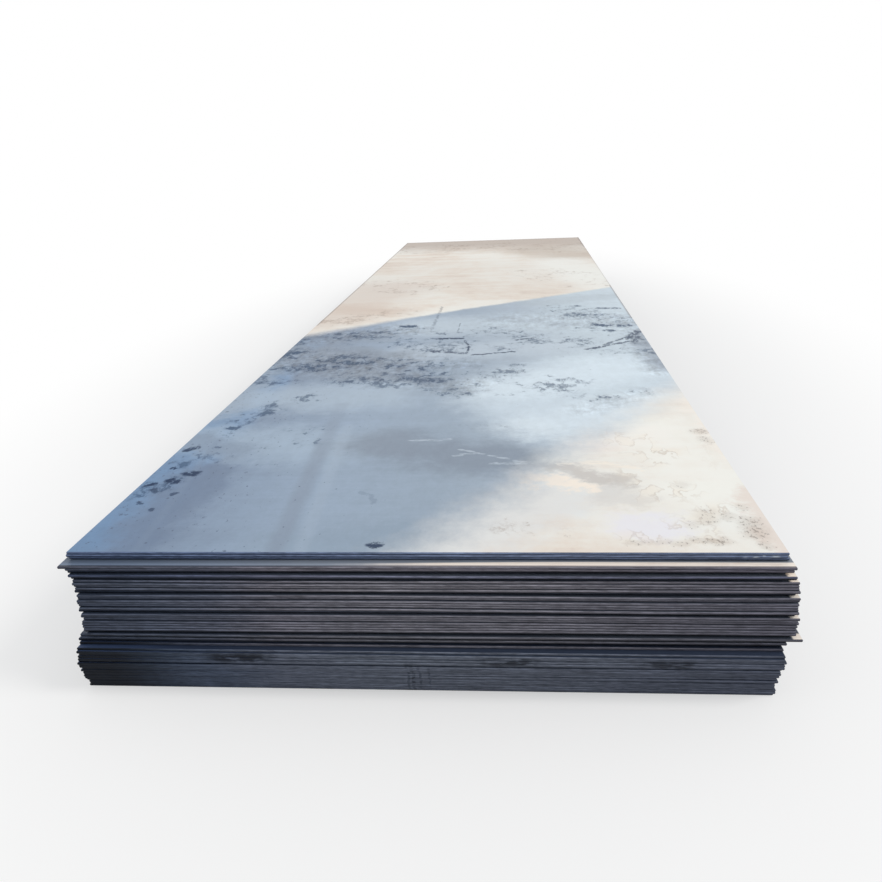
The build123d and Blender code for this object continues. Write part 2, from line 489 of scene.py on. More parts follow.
def make_plate_tree():
    """The rule for one plate: a fine grid box whose ends are sheared, whose long edges are rolled, and
    which follows the height of its frame plate."""
    tree = bpy.data.node_groups.new("rolled_plate", "GeometryNodeTree")
    tree.interface.new_socket(name="Plate", in_out="OUTPUT", socket_type="NodeSocketGeometry")
    for name, kind in PLATE_INPUTS:
        tree.interface.new_socket(name=name, in_out="INPUT", socket_type=kind)
    given = tree.nodes.new("NodeGroupInput").outputs

    size = combine(tree, given["Width"], given["Length"], given["Thickness"])
    box = put(tree, "GeometryNodeMeshCube", {
        "Size": size,
        "Vertices X": given["Points Across"],
        "Vertices Y": given["Points Along"],
        "Vertices Z": given["Points Through"],
    }).outputs["Mesh"]
    place = put(tree, "GeometryNodeInputPosition").outputs[0]
    x, y, z = put(tree, "ShaderNodeSeparateXYZ", {0: place}).outputs
    level = plus(tree, number(tree, "DIVIDE", z, given["Thickness"]), 0.5)
    box = store(tree, box, "level", level)
    from_front = sloped(tree, given["Length"], 0.5, y)
    box = store(tree, box, "from_front", from_front)

    rim_share = 0.49999  # just under half, so that only the outermost points count as rim
    side_waves = 1.7  # to the metre
    end_waves = 9.0
    rolled_share = 0.25  # upper part of the thickness that is rolled over
    broken_fall = -1.7  # how fast the break comes forward from the underside up

    def at_rim(distance, extent):
        rim = times(tree, extent, rim_share)
        return number(tree, "GREATER_THAN", number(tree, "ABSOLUTE", distance), rim)

    def ripple(distance, waves, across_level):
        where = combine(tree, times(tree, distance, waves), given["Seed"], across_level)
        return put(tree, "ShaderNodeTexNoise", {"Vector": where, "Scale": 1.0, "Detail": 3.0}).outputs[0]

    # Rolled long edges: round, fullest at half thickness
    off_middle = number(tree, "SUBTRACT", times(tree, level, 2.0), 1.0)
    side_inset = times(tree, off_middle, off_middle)
    side_inset = times(tree, side_inset, given["Rolled Bulge"])
    side_inset = sloped(tree, ripple(y, side_waves, 0.0), given["Edge Ripple"], side_inset)
    # Sheared ends: a rolled-over upper corner, a clean cut, and a broken part that draws back
    rolled_over = sloped(tree, level, 1 / rolled_share, 1 - 1 / rolled_share)
    rolled_over = larger(tree, rolled_over, 0.0)
    rolled_over = times(tree, rolled_over, rolled_over)
    broken = larger(tree, sloped(tree, level, broken_fall, 1.0), 0.0)
    end_inset = times(tree, rolled_over, given["Shear Rounding"])
    end_inset = sloped(tree, broken, given["Break Slope"], end_inset)
    end_inset = sloped(tree, ripple(x, end_waves, level), given["Edge Ripple"], end_inset)

    def drawn_in(distance, extent, inset):
        step = times(tree, number(tree, "SIGN", distance), inset)
        return number(tree, "SUBTRACT", distance, times(tree, step, at_rim(distance, extent)))

    half_length = times(tree, given["Length"], 0.5)

    def in_frame(across, along, height):
        from_front = combine(tree, across, plus(tree, along, half_length), height)
        turned = put(tree, "ShaderNodeVectorRotate", {"Vector": from_front, "Angle": given["Turn"]},
                     rotation_type="Z_AXIS").outputs[0]
        return vector(tree, "ADD", turned, given["Front Middle"])

    # The height comes from the frame plate's underside, felt for just inside the rim
    inside_share = 0.998
    probe_from = -1.0
    probe_reach = 5.0
    probe_x = times(tree, x, inside_share)
    probe_y = times(tree, y, inside_share)
    probe = in_frame(probe_x, probe_y, probe_from)
    plate = put(tree, "GeometryNodeObjectInfo", {"Object": given["Frame Plate"]}, transform_space="RELATIVE")
    hit = put(tree, "GeometryNodeRaycast", {
        "Target Geometry": plate.outputs["Geometry"],
        "Source Position": probe,
        "Ray Direction": (0.0, 0.0, 1.0),
        "Ray Length": probe_reach,
    }).outputs["Hit Position"]
    underside = put(tree, "ShaderNodeSeparateXYZ", {0: hit}).outputs[2]
    height = sloped(tree, level, given["Thickness"], underside)
    spot = in_frame(drawn_in(x, given["Width"], side_inset), drawn_in(y, given["Length"], end_inset), 0.0)
    spot_x, spot_y, _ = put(tree, "ShaderNodeSeparateXYZ", {0: spot}).outputs
    settled = combine(tree, spot_x, spot_y, height)
    box = put(tree, "GeometryNodeSetPosition", {"Geometry": box, "Position": settled}).outputs[0]

    # What the finishes read: how this plate looks, and which faces are edges
    most_upright = 0.7  # of the normal of an edge's face
    normal = put(tree, "GeometryNodeInputNormal").outputs[0]
    upright = put(tree, "ShaderNodeSeparateXYZ", {0: normal}).outputs[2]
    is_edge = number(tree, "LESS_THAN", number(tree, "ABSOLUTE", upright), most_upright)
    box = store(tree, box, "edge_colour", given["Edge Colour"], data_type="FLOAT_COLOR", domain="FACE")
    box = store(tree, box, "face_tint", given["Face Tint"], data_type="FLOAT_COLOR", domain="FACE")
    box = store(tree, box, "dust_from", given["Dust From"], domain="FACE")
    whole = put(tree, "GeometryNodeRealizeInstances", {"Geometry": box}).outputs[0]
    faced = put(tree, "GeometryNodeSetMaterial", {
        "Geometry": whole,
        "Material": given["Face Finish"],
    }).outputs[0]
    done = put(tree, "GeometryNodeSetMaterial", {
        "Geometry": faced,
        "Selection": is_edge,
        "Material": given["Edge Finish"],
    }).outputs[0]
    put(tree, "NodeGroupOutput", {0: done})
    return tree


def front_and_back(node):
    """The left and right corners of a frame plate's front end and of its back end, in plan."""
    points = [vertex.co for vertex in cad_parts[node].data.vertices]
    low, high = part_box(node)
    middle_y = (low.y + high.y) / 2
    corners = []
    for end in ([p for p in points if p.y < middle_y], [p for p in points if p.y > middle_y]):
        left = min(end, key=lambda p: p.x)
        right = max(end, key=lambda p: p.x)
        corners.append((left.xy, right.xy))
    return corners


def lay_plate(node, tree, look, sun_reach, finish, grid, seed):
    """Makes one plate as a plain mesh that stands for its frame node."""
    (front_left, front_right), (back_left, back_right) = front_and_back(node)
    front = (front_left + front_right) / 2
    back = (back_left + back_right) / 2
    across = front_right - front_left
    values = {
        "Length": (back - front).length,
        "Width": across.length,
        "Thickness": plate_thickness,
        "Points Across": grid[0],
        "Points Along": grid[1],
        "Points Through": grid[2],
        "Front Middle": (front.x, front.y, 0.0),
        "Turn": math.atan2(across.y, across.x),
        "Frame Plate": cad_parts[node],
        "Rolled Bulge": rolled_bulge,
        "Shear Rounding": shear_rounding,
        "Break Slope": break_slope,
        "Edge Ripple": edge_ripple,
        "Seed": float(seed),
        "Edge Colour": look.edge,
        "Face Tint": look.face,
        "Dust From": front_right.x - sun_reach,
        "Face Finish": finish,
        "Edge Finish": edge_finish,
    }
    maker = bpy.data.objects.new("maker", bpy.data.meshes.new("maker"))
    rule = maker.modifiers.new("rolled_plate", "NODES")
    rule.node_group = tree
    for socket in tree.interface.items_tree:
        if socket.in_out == "INPUT":
            rule[socket.identifier] = values[socket.name]
    bpy.context.scene.collection.objects.link(maker)
    graph = bpy.context.evaluated_depsgraph_get()
    mesh = bpy.data.meshes.new_from_object(maker.evaluated_get(graph))
    bpy.data.objects.remove(maker)
    piece = bpy.data.objects.new("rolled_" + node, mesh)
    mesh.name = piece.name
    bpy.context.scene.collection.objects.link(piece)
    return piece


# The finish


def stroke_distance(tree, spot, stroke):
    """How far a spot lies from a stroke's line, in plan."""
    def on_plate(place):
        across, along = place
        return Vector((front_middle.x + across * top_half_width, front_middle.y + along * top_length, 0.0))

    start = on_plate(stroke.start)
    run = on_plate(stroke.end) - start
    offset = vector(tree, "SUBTRACT", spot, start)
    along = kept_in(tree, vector(tree, "DOT_PRODUCT", offset, run / max(run.length_squared, MM * MM)))
    nearest = put(tree, "ShaderNodeVectorMath", {0: run, "Scale": along}, operation="SCALE").outputs[0]
    return vector(tree, "LENGTH", vector(tree, "SUBTRACT", offset, nearest))


def seen_strokes(tree, spot, strokes, outer=1.25, inner=0.55):
    """How strongly any of these marks shows at a spot, from 0 to 1. A mark fades out between its outer
    and its inner share of its half width."""
    shown = 0.0
    for stroke in strokes:
        width = stroke.half_width * MM
        mark = fade(tree, stroke_distance(tree, spot, stroke), outer * width, inner * width)
        shown = larger(tree, shown, times(tree, mark, stroke.strength))
    return shown


def shaded(tree, spot, colour, shades):
    """Lays soft tones over a colour, one after the other."""
    shade_outer = 1.45
    shade_inner = 0.25
    for shade in shades:
        width = shade.half_width * MM
        share = fade(tree, stroke_distance(tree, spot, shade), shade_outer * width, shade_inner * width)
        colour = mix(tree, times(tree, share, shade.strength), colour, shade.colour)
    return colour


def mix(tree, factor, under, over, way="MIX"):
    """Lays one colour over another."""
    node = put(tree, "ShaderNodeMix", {0: factor, 6: under, 7: over}, data_type="RGBA", blend_type=way)
    return node.outputs[2]


def ramp(tree, factor, stops):
    """A colour that changes along a scale from 0 to 1."""
    node = put(tree, "ShaderNodeValToRGB", {0: factor})
    elements = node.color_ramp.elements
    while len(elements) < len(stops):
        elements.new(0.5)
    for element, (place, colour) in zip(elements, stops):
        element.position = place
        element.color = colour
    return node.outputs[0]


def attribute(tree, name, output="Fac"):
    """A value that the plate's own mesh carries."""
    return put(tree, "ShaderNodeAttribute", attribute_name=name, attribute_type="GEOMETRY").outputs[output]


def toned(tree, colour, tone):
    """A colour made brighter or darker by a number."""
    return mix(tree, 1.0, colour, combine(tree, tone, tone, tone), "MULTIPLY")


class Grain:
    """The patterns that the layers of a finish share, all on the piece's own coordinates."""

    def __init__(self, tree):
        self.spot = put(tree, "ShaderNodeTexCoord").outputs["Object"]
        self.x, self.y, self.z = put(tree, "ShaderNodeSeparateXYZ", {0: self.spot}).outputs
        self.flat = vector(tree, "MULTIPLY", self.spot, (1.0, 1.0, 0.0))
        self.clouds = noise(tree, self.flat, (1.1, 0.7, 0.0), detail=4.0)
        self.bands = noise(tree, self.flat, (0.9, 7.0, 0.0), detail=4.0, roughness=0.6)
        self.cross_streaks = noise(tree, self.flat, (3.5, 32.0, 0.0), detail=5.0, roughness=0.7)
        self.long_streaks = noise(tree, self.flat, (7.0, 0.25, 0.0), detail=2.0)
        self.ragged = noise(tree, self.flat, (8.0, 6.0, 0.0), detail=9.0, roughness=0.72)
        self.grit = noise(tree, self.flat, (60.0, 45.0, 0.0), detail=4.0, roughness=0.65)


def centred(tree, value, height):
    """Noise turned into a change of so much in all, up and down from zero."""
    return sloped(tree, value, height, -height / 2)


# Colours of the scale from the left edge to the right, on the open top and on the faces between plates
OPEN_SCALE = [
    (0.02, paint(106, 139, 176)),
    (0.07, paint(118, 149, 185)),
    (0.10, paint(122, 142, 168)),
    (0.28, paint(148, 167, 189)),
    (0.50, paint(151, 168, 186)),
    (0.66, paint(168, 183, 198)),
    (0.82, paint(194, 209, 220)),
    (1.0, paint(204, 218, 229)),
]
HIDDEN_SCALE = [
    (0.06, paint(116, 131, 154)),
    (0.20, paint(140, 153, 173)),
    (0.35, paint(156, 166, 181)),
    (1.0, paint(160, 170, 184)),
]


def scale_colour(tree, grain, colours):
    """Mill scale: bluest along the left edge, paler towards the right, with roller streaks."""
    from_left = sloped(tree, grain.x, 0.5, 0.5)
    from_left = plus(tree, from_left, centred(tree, grain.clouds, 0.16))
    from_left = plus(tree, from_left, centred(tree, grain.ragged, 0.05))
    colour = ramp(tree, from_left, colours)
    streaks = centred(tree, grain.cross_streaks, 0.16)
    streaks = plus(tree, streaks, centred(tree, grain.long_streaks, 0.08))
    streaks = plus(tree, streaks, centred(tree, grain.bands, 0.22))
    streaks = plus(tree, streaks, centred(tree, grain.grit, 0.10))
    return toned(tree, colour, plus(tree, streaks, 1.0))


def painted_sun_share(tree, grain):
    """Where painted sunlight lies: a field over the far part with a clear painted shadow edge, and a soft
    edge at the near right.
    """
    far_slope = -0.713  # of the clear edge, across against along
    far_start = -0.345
    far_full = -0.263
    left_blur = -0.16  # how much sooner the clear edge sets in at the left
    near_across = 0.843  # the soft edge's direction
    near_along = -0.538
    near_start = 1.96
    near_full = 2.26
    ledge_gain = 0.03
    start_blur = 8 * MM
    left = fade(tree, grain.x, -0.2, -1.0)
    far_line = sloped(tree, grain.x, far_slope, grain.y)
    far_line = plus(tree, far_line, centred(tree, grain.ragged, 0.12))
    far = fade(tree, far_line, sloped(tree, left, left_blur, far_start), far_full)
    near_line = times(tree, grain.y, near_along)
    near_line = sloped(tree, grain.x, near_across, near_line)
    near_line = plus(tree, near_line, centred(tree, grain.clouds, 0.20))
    near_line = plus(tree, near_line, centred(tree, grain.ragged, 0.22))
    on_ledge = fade(tree, grain.y, front_middle.y - 2 * MM, front_middle.y - 8 * MM)
    near_line = sloped(tree, on_ledge, ledge_gain, near_line)
    near = fade(tree, near_line, near_start, near_full)
    past_start = number(tree, "SUBTRACT", grain.x, attribute(tree, "dust_from"))
    either = larger(tree, far, near)
    return times(tree, either, fade(tree, past_start, 0.0, start_blur))


def painted_sun_colour(tree, grain):
    """Painted sunlight, cream to tan, a little streaked."""
    shade = plus(tree, grain.clouds, centred(tree, grain.ragged, 0.40))
    shade = plus(tree, shade, centred(tree, grain.bands, 0.40))
    return ramp(tree, shade, [
        (0.24, paint(216, 200, 188)),
        (0.40, paint(236, 226, 215)),
        (0.54, paint(243, 240, 233)),
        (0.75, paint(245, 246, 242)),
    ])


def shaken_spot(tree, grain, scale, reach):
    """The place on the plate, shaken by noise so that what is drawn there gets ragged borders."""
    shake = put(tree, "ShaderNodeTexNoise", {
        "Vector": grain.flat,
        "Scale": scale,
        "Detail": 6.0,
        "Roughness": 0.7,
    }).outputs["Color"]
    shake = vector(tree, "SUBTRACT", shake, (0.5, 0.5, 0.5))
    return vector(tree, "ADD", grain.flat, vector(tree, "MULTIPLY", shake, reach))


def with_smears(tree, grain, face, out_of_sun):
    """Soft dark smears across the plate, finely streaked."""
    smears = noise(tree, grain.flat, (2.4, 5.5, 0.0), detail=5.0, roughness=0.64)
    zones = times(tree, seen_strokes(tree, grain.flat, SMEAR_ZONES, 1.5, 0.2), out_of_sun)
    seen = times(tree, fade(tree, smears, 0.42, 0.66), zones)
    face = mix(tree, times(tree, seen, 0.5), face, paint(84, 99, 122))
    fine = noise(tree, grain.flat, (22.0, 10.0, 0.0), detail=4.0, roughness=0.72)
    share = sloped(tree, zones, 0.9, times(tree, out_of_sun, 0.10))
    streaks = times(tree, centred(tree, fine, 2.5), share)
    return toned(tree, face, plus(tree, streaks, 1.0))


def fleck_shares(tree, grain, thick, torn):
    """Clusters of flecks and thin curled lines, the more of them the thicker they are to lie: how much of
    their soft surround is seen, and how much of the torn flecks themselves."""
    clusters = noise(tree, grain.flat, (3.4, 3.8, 0.0), detail=3.0)
    lie = sloped(tree, thick, 0.17, centred(tree, clusters, 0.6))
    flecks = noise(tree, grain.flat, (17.0, 13.0, 0.0), detail=4.0, roughness=0.66)
    flecks = plus(tree, flecks, lie)
    surround = fade(tree, flecks, 0.55, 0.75)
    whole = sloped(tree, thick, 0.07, torn)
    flecks = times(tree, fade(tree, flecks, 0.655, 0.735), fade(tree, whole, 0.38, 0.60))
    curls = noise(tree, grain.flat, (11.0, 6.5, 0.0), detail=4.0, roughness=0.62)
    curls = fade(tree, number(tree, "ABSOLUTE", number(tree, "SUBTRACT", curls, 0.5)), 0.030, 0.006)
    curls = times(tree, curls, fade(tree, lie, 0.06, 0.22))
    flecks = larger(tree, flecks, times(tree, curls, 0.8))
    present = fade(tree, thick, 0.0, 0.25)
    return times(tree, surround, present), times(tree, flecks, present)


def with_flakes(tree, grain, face, out_of_sun, painted_sun):
    """Flecks and scuffs where scale has come off, and fainter flecks in the painted sunlight. Gives the share
    that is bare of scale as well."""
    torn = noise(tree, grain.flat, (46.0, 16.0, 0.0), detail=3.0, roughness=0.65)
    shaken = shaken_spot(tree, grain, scale=18.0, reach=(0.045, 0.075, 0.0))
    flaked = times(tree, seen_strokes(tree, shaken, FLAKED_STROKES, 1.7, 0.2), 1.5)
    zones = larger(tree, flaked, seen_strokes(tree, grain.flat, FLECK_ZONES, 1.4, 0.3))
    zones = times(tree, zones, out_of_sun)
    sunlit_zones = times(tree, seen_strokes(tree, grain.flat, SUNLIT_FLECK_ZONES, 1.4, 0.3), painted_sun)
    surround, flecks = fleck_shares(tree, grain, larger(tree, zones, sunlit_zones), torn)
    # flecks in the painted sunlight are drawn paler, as if lit
    colour = mix(tree, painted_sun, paint(36, 66, 98), paint(160, 140, 126))
    depth = number(tree, "MINIMUM", sloped(tree, zones, 0.28, 0.46), 1.0)
    depth = times(tree, depth, sloped(tree, painted_sun, -0.20, 1.0))
    face = mix(tree, times(tree, times(tree, surround, 0.2), depth), face, colour)
    face = mix(tree, times(tree, flecks, depth), face, colour)
    drawn = shaken_spot(tree, grain, scale=22.0, reach=(0.032, 0.060, 0.0))
    scuffs = seen_strokes(tree, drawn, DARK_STROKES, 1.5, 0.4)
    worn = sloped(tree, scuffs, 0.10, torn)
    scuffs = times(tree, scuffs, fade(tree, worn, 0.42, 0.62))
    ragged = shaken_spot(tree, grain, scale=40.0, reach=(0.034, 0.064, 0.0))
    pits = seen_strokes(tree, ragged, PIT_STROKES, 1.3, 0.6)
    pits = times(tree, pits, fade(tree, torn, 0.30, 0.46))
    scuffs = larger(tree, scuffs, pits)
    bare = larger(tree, scuffs, times(tree, flecks, depth))
    return mix(tree, times(tree, scuffs, 0.9), face, paint(18, 42, 76)), bare


def with_pits(tree, grain, face, out_of_sun):
    """Fine dark pits, thickest down the left side."""
    pits = noise(tree, grain.flat, (62.0, 40.0, 0.0), detail=4.0, roughness=0.6)
    left = fade(tree, grain.x, 0.1, -0.9)
    thick = sloped(tree, left, 0.08, centred(tree, grain.ragged, 0.3))
    seen = fade(tree, plus(tree, thick, pits), 0.71, 0.75)
    seen = times(tree, seen, out_of_sun)
    return mix(tree, times(tree, seen, 0.6), face, paint(52, 68, 96))


def with_rings(tree, grain, face, painted_sun):
    """Rings that drying water left, inside the painted sunlight, with thin tan outlines."""
    pools = noise(tree, grain.flat, (17.0, 10.0, 0.0), detail=3.0)
    some = fade(tree, noise(tree, grain.flat, (4.1, 3.3, 0.0), detail=3.0), 0.44, 0.56)
    where = times(tree, seen_strokes(tree, grain.flat, RING_ZONES, 1.5, 0.3), painted_sun)
    where = times(tree, where, some)
    inside = times(tree, fade(tree, pools, 0.50, 0.56), where)
    face = mix(tree, times(tree, inside, 0.3), face, paint(244, 230, 210))
    line = fade(tree, number(tree, "ABSOLUTE", number(tree, "SUBTRACT", pools, 0.515)), 0.032, 0.008)
    line = times(tree, line, where)
    return mix(tree, times(tree, line, 0.4), face, paint(186, 166, 146))


def with_rust(tree, grain, face):
    """Rust in fine specks over a faint smudge."""
    shaken = shaken_spot(tree, grain, scale=30.0, reach=(0.06, 0.09, 0.0))
    zones = seen_strokes(tree, shaken, RUST_STROKES, 1.9, 0.2)
    face = mix(tree, times(tree, zones, 0.42), face, paint(182, 166, 152))
    specks = noise(tree, grain.flat, (105.0, 62.0, 0.0), detail=3.0, roughness=0.6)
    seen = fade(tree, sloped(tree, zones, 0.17, specks), 0.64, 0.74)
    seen = times(tree, seen, fade(tree, zones, 0.0, 0.2))
    return mix(tree, times(tree, seen, 0.5), face, paint(112, 98, 90))


def with_bright_marks(tree, grain, face, painted_sun):
    """Pale ragged scratches and crumbs."""
    scraped = shaken_spot(tree, grain, scale=14.0, reach=(0.005, 0.010, 0.0))
    zones = seen_strokes(tree, scraped, BRIGHT_STROKES, 1.6, 0.3)
    crumbs = noise(tree, grain.flat, (20.0, 40.0, 0.0), detail=4.0, roughness=0.65)
    seen = fade(tree, sloped(tree, zones, 0.20, crumbs), 0.56, 0.74)
    seen = times(tree, seen, fade(tree, zones, 0.0, 0.2))
    # paler still where the painted sunlight lies
    pale = mix(tree, painted_sun, paint(196, 209, 221), paint(252, 244, 232))
    return mix(tree, times(tree, seen, 0.6), face, pale)


def with_rim_shade(tree, grain, face):
    """Painted shade along the rims of the far part."""
    rims = seen_strokes(tree, grain.flat, RIM_SHADE_STROKES, 1.5, 0.5)
    return mix(tree, rims, face, paint(112, 102, 100))


def with_marks(tree, grain, face, painted_sun):
    """The top plate's own marks, one layer over the other, and the share that is bare of scale."""
    out_of_sun = number(tree, "SUBTRACT", 1.0, painted_sun)
    face = with_smears(tree, grain, face, out_of_sun)
    face = with_rings(tree, grain, face, painted_sun)
    face = with_pits(tree, grain, face, out_of_sun)
    face, bare = with_flakes(tree, grain, face, out_of_sun, painted_sun)
    face = with_rust(tree, grain, face)
    face = with_bright_marks(tree, grain, face, painted_sun)
    return with_rim_shade(tree, grain, face), bare


def with_painted_rim_shade(tree, grain, face):
    """Painted shade on the rolled-over rim along the ledge's front end, darkest at the left."""
    rim_outer = 9 * MM
    rim_inner = 5 * MM
    rim_strength = 0.85
    rim = fade(tree, attribute(tree, "from_front"), rim_outer, rim_inner)
    rim = times(tree, rim, fade(tree, grain.z, *LEDGE_HEIGHTS))
    rim = times(tree, rim, rim_strength)
    left = fade(tree, grain.x, 0.2, -0.6)
    return mix(tree, rim, face, mix(tree, left, paint(104, 101, 110), paint(30, 36, 50)))


def front_marks(tree, grain, marks):
    """How strongly any of these marks shows on the front ends, from 0 to 1."""
    def reached(distance, half_size):
        size = half_size * MM
        return fade(tree, number(tree, "ABSOLUTE", distance), 1.4 * size, 0.5 * size)

    wander = centred(tree, noise(tree, grain.spot, (14.0, 14.0, 60.0), detail=4.0), 0.02)
    x = plus(tree, grain.x, wander)
    shown = 0.0
    for mark in marks:
        seen = reached(number(tree, "SUBTRACT", x, mark.across * MM), mark.half_width)
        seen = times(tree, seen, mark.strength)
        in_height = reached(number(tree, "SUBTRACT", grain.z, mark.up * MM), mark.half_height)
        seen = times(tree, seen, in_height)
        shown = larger(tree, shown, seen)
    patchy = fade(tree, noise(tree, grain.spot, (26.0, 26.0, 110.0), detail=3.0), 0.34, 0.54)
    shown = times(tree, shown, patchy)
    return times(tree, shown, fade(tree, grain.y, 0.0, -1.0))


def edge_colour(tree, grain):
    """Sheared ends and rolled edges: a bright cut band with a painted highlight, a dull break, painted shade
    in the seams, rubs and drips.
    """
    soiled_reach = 0.7  # how far back along the sides the front's soiling runs
    soiled_full = 0.1

    def grey(value):
        return tint(value, value, value)

    # Up each plate's end: a bright cut band under the rolled-over corner, lifted beyond its own tone as a
    # painted highlight, and a dull break that darkens to painted shade in the seam at the underside
    band = ramp(tree, attribute(tree, "level"), [
        (0.0, grey(0.10)),
        (0.16, grey(0.45)),
        (0.50, grey(0.95)),
        (0.84, grey(1.40)),
        (1.0, grey(0.55)),
    ])
    smudges = noise(tree, grain.spot, (3.0, 3.0, 60.0), detail=4.0, roughness=0.6)
    from_left = sloped(tree, grain.x, 0.48, 0.5)
    from_left = plus(tree, from_left, centred(tree, smudges, 0.16))
    across = ramp(tree, from_left, [
        (0.0, tint(0.30, 0.37, 0.47)),
        (0.12, tint(0.46, 0.55, 0.66)),
        (0.22, tint(0.62, 0.68, 0.77)),
        (0.30, tint(0.96, 0.95, 0.97)),
        (0.45, tint(1.06, 1.05, 1.03)),
        (0.62, tint(1.06, 1.04, 1.02)),
        (0.85, tint(0.82, 0.81, 0.83)),
        (1.0, tint(0.70, 0.69, 0.73)),
    ])
    highest = fade(tree, grain.z, *HIGHEST_HEIGHTS)
    across = mix(tree, times(tree, highest, 0.6), across, grey(0.95))
    at_front = fade(tree, grain.y, frame_low.y + soiled_reach, frame_low.y + soiled_full)
    across = mix(tree, at_front, tint(0.98, 0.99, 1.02), across)
    runs = noise(tree, grain.spot, (4.0, 4.0, 420.0), detail=4.0, roughness=0.6)
    dashes = noise(tree, grain.spot, (32.0, 32.0, 400.0), detail=4.0, roughness=0.65)
    drips = noise(tree, grain.spot, (38.0, 38.0, 4.0), detail=3.0)
    wear = sloped(tree, fade(tree, runs, 0.36, 0.64), 0.6, 0.45)
    wear = sloped(tree, fade(tree, dashes, 0.36, 0.66), 0.6, wear)
    wear = plus(tree, wear, centred(tree, drips, 0.25))
    bottom = fade(tree, grain.z, *BOTTOM_HEIGHTS)
    low_left = times(tree, fade(tree, grain.x, *SOILED_LEFT), bottom)
    low_left = times(tree, low_left, at_front)
    wear = times(tree, wear, sloped(tree, low_left, -0.8, 1.0))
    plain = sloped(tree, fade(tree, grain.x, 0.1, -0.7), 0.35, 0.55)
    band = mix(tree, times(tree, bottom, plain), band, grey(0.85))
    colour = mix(tree, 1.0, attribute(tree, "edge_colour", "Color"), band, "MULTIPLY")
    colour = mix(tree, 1.0, colour, across, "MULTIPLY")
    colour = toned(tree, colour, wear)
    colour = mix(tree, front_marks(tree, grain, FRONT_STAINS), colour, paint(20, 23, 30))
    return mix(tree, front_marks(tree, grain, FRONT_NICKS), colour, paint(184, 196, 208))


def new_finish(name):
    """An empty material and its tree."""
    material = bpy.data.materials.new(name)
    material.use_nodes = True
    material.node_tree.nodes.clear()
    return material, material.node_tree


def finish_surface(tree, colour, roughness, specular, relief, strength, depth):
    """Joins a finish's colour, roughness and fine relief into its surface."""
    metal_share = 0.2
    bump = put(tree, "ShaderNodeBump", {"Height": relief, "Strength": strength, "Distance": depth}).outputs[0]
    shader = put(tree, "ShaderNodeBsdfPrincipled", {
        "Base Color": colour,
        "Roughness": roughness,
        "Metallic": metal_share,
        "Specular IOR Level": specular,
        "Normal": bump,
    })
    put(tree, "ShaderNodeOutputMaterial", {"Surface": shader.outputs[0]})


def on_lower_plates(tree, grain, scale, sun_colour, painted_sun):
    """What differs on the plates under the top one: brighter painted sunlight with tan stains on the ledge,
    painted shadow at the foot of what stands on it, where the painted sunlight stops short, and paler scale
    at the left end of the navy ledge."""
    ledge_sun_colour = paint(255, 243, 231)
    tan_stain = paint(206, 176, 150)
    foot_reach = 26 * MM
    foot_full = 4 * MM
    shadow_strip = 9 * MM  # how much further from the foot the painted sunlight begins at the left
    # brighter painted sunlight on the ledge, with tan stains
    sun_colour = mix(tree, 0.8, sun_colour, ledge_sun_colour)
    tan = fade(tree, noise(tree, grain.flat, (9.0, 40.0, 0.0), detail=4.0, roughness=0.65), 0.52, 0.70)
    sun_colour = mix(tree, times(tree, tan, 0.25), sun_colour, tan_stain)
    ahead = number(tree, "SUBTRACT", front_middle.y, grain.y)
    # painted shadow at the foot of the plates standing on the ledge
    foot = fade(tree, ahead, foot_reach, foot_full)
    scale = toned(tree, scale, sloped(tree, foot, -0.35, 1.0))
    left_end = fade(tree, grain.x, *SOILED_LEFT)
    low_left = times(tree, left_end, fade(tree, grain.z, *NAVY_HEIGHTS))
    scale = toned(tree, scale, sloped(tree, low_left, 1.2, 1.0))
    # the painted sunlight stops short of the foot, where the painted shadow falls
    ahead = sloped(tree, fade(tree, grain.x, 0.5, -0.2), -shadow_strip, ahead)
    painted_sun = times(tree, painted_sun, fade(tree, ahead, 2 * MM, 9 * MM))
    return scale, sun_colour, painted_sun


def make_face_finish(name, marked):
    """Hot-rolled mill scale on the flat faces: blue-grey, with streaks and stains, patches of painted
    sunlight, and on the lower plates painted shade from the face tint and the ledge's rim.
    """
    material, tree = new_finish(name)
    grain = Grain(tree)
    scale = scale_colour(tree, grain, OPEN_SCALE if marked else HIDDEN_SCALE)
    sun_colour = painted_sun_colour(tree, grain)
    painted_sun = painted_sun_share(tree, grain)
    if marked:
        drifted = shaken_spot(tree, grain, scale=6.0, reach=(0.30, 0.40, 0.0))
        scale = shaded(tree, drifted, scale, SCALE_SHADES)
        scale = shaded(tree, grain.flat, scale, ROLLER_STRIPES)
        sun_colour = shaded(tree, drifted, sun_colour, PAINTED_SUN_SHADES)
    else:
        scale, sun_colour, painted_sun = on_lower_plates(tree, grain, scale, sun_colour, painted_sun)
    # the face tint darkens the faces of the lower and slot plates, a painted shade
    scale = mix(tree, 1.0, scale, attribute(tree, "face_tint", "Color"), "MULTIPLY")
    # pale patches of painted sunlight laid over the scale
    colour = mix(tree, painted_sun, scale, sun_colour)
    roughness = sloped(tree, painted_sun, 0.3, 0.42)
    roughness = plus(tree, roughness, centred(tree, grain.clouds, 0.15))
    if marked:
        colour, bare = with_marks(tree, grain, colour, painted_sun)
        roughness = sloped(tree, bare, 0.25, roughness)
    else:
        colour = with_painted_rim_shade(tree, grain, colour)
    relief = sloped(tree, grain.cross_streaks, 0.3, grain.grit)
    finish_surface(tree, colour, roughness, 0.25, relief, strength=0.12, depth=0.5 * MM)
    return material


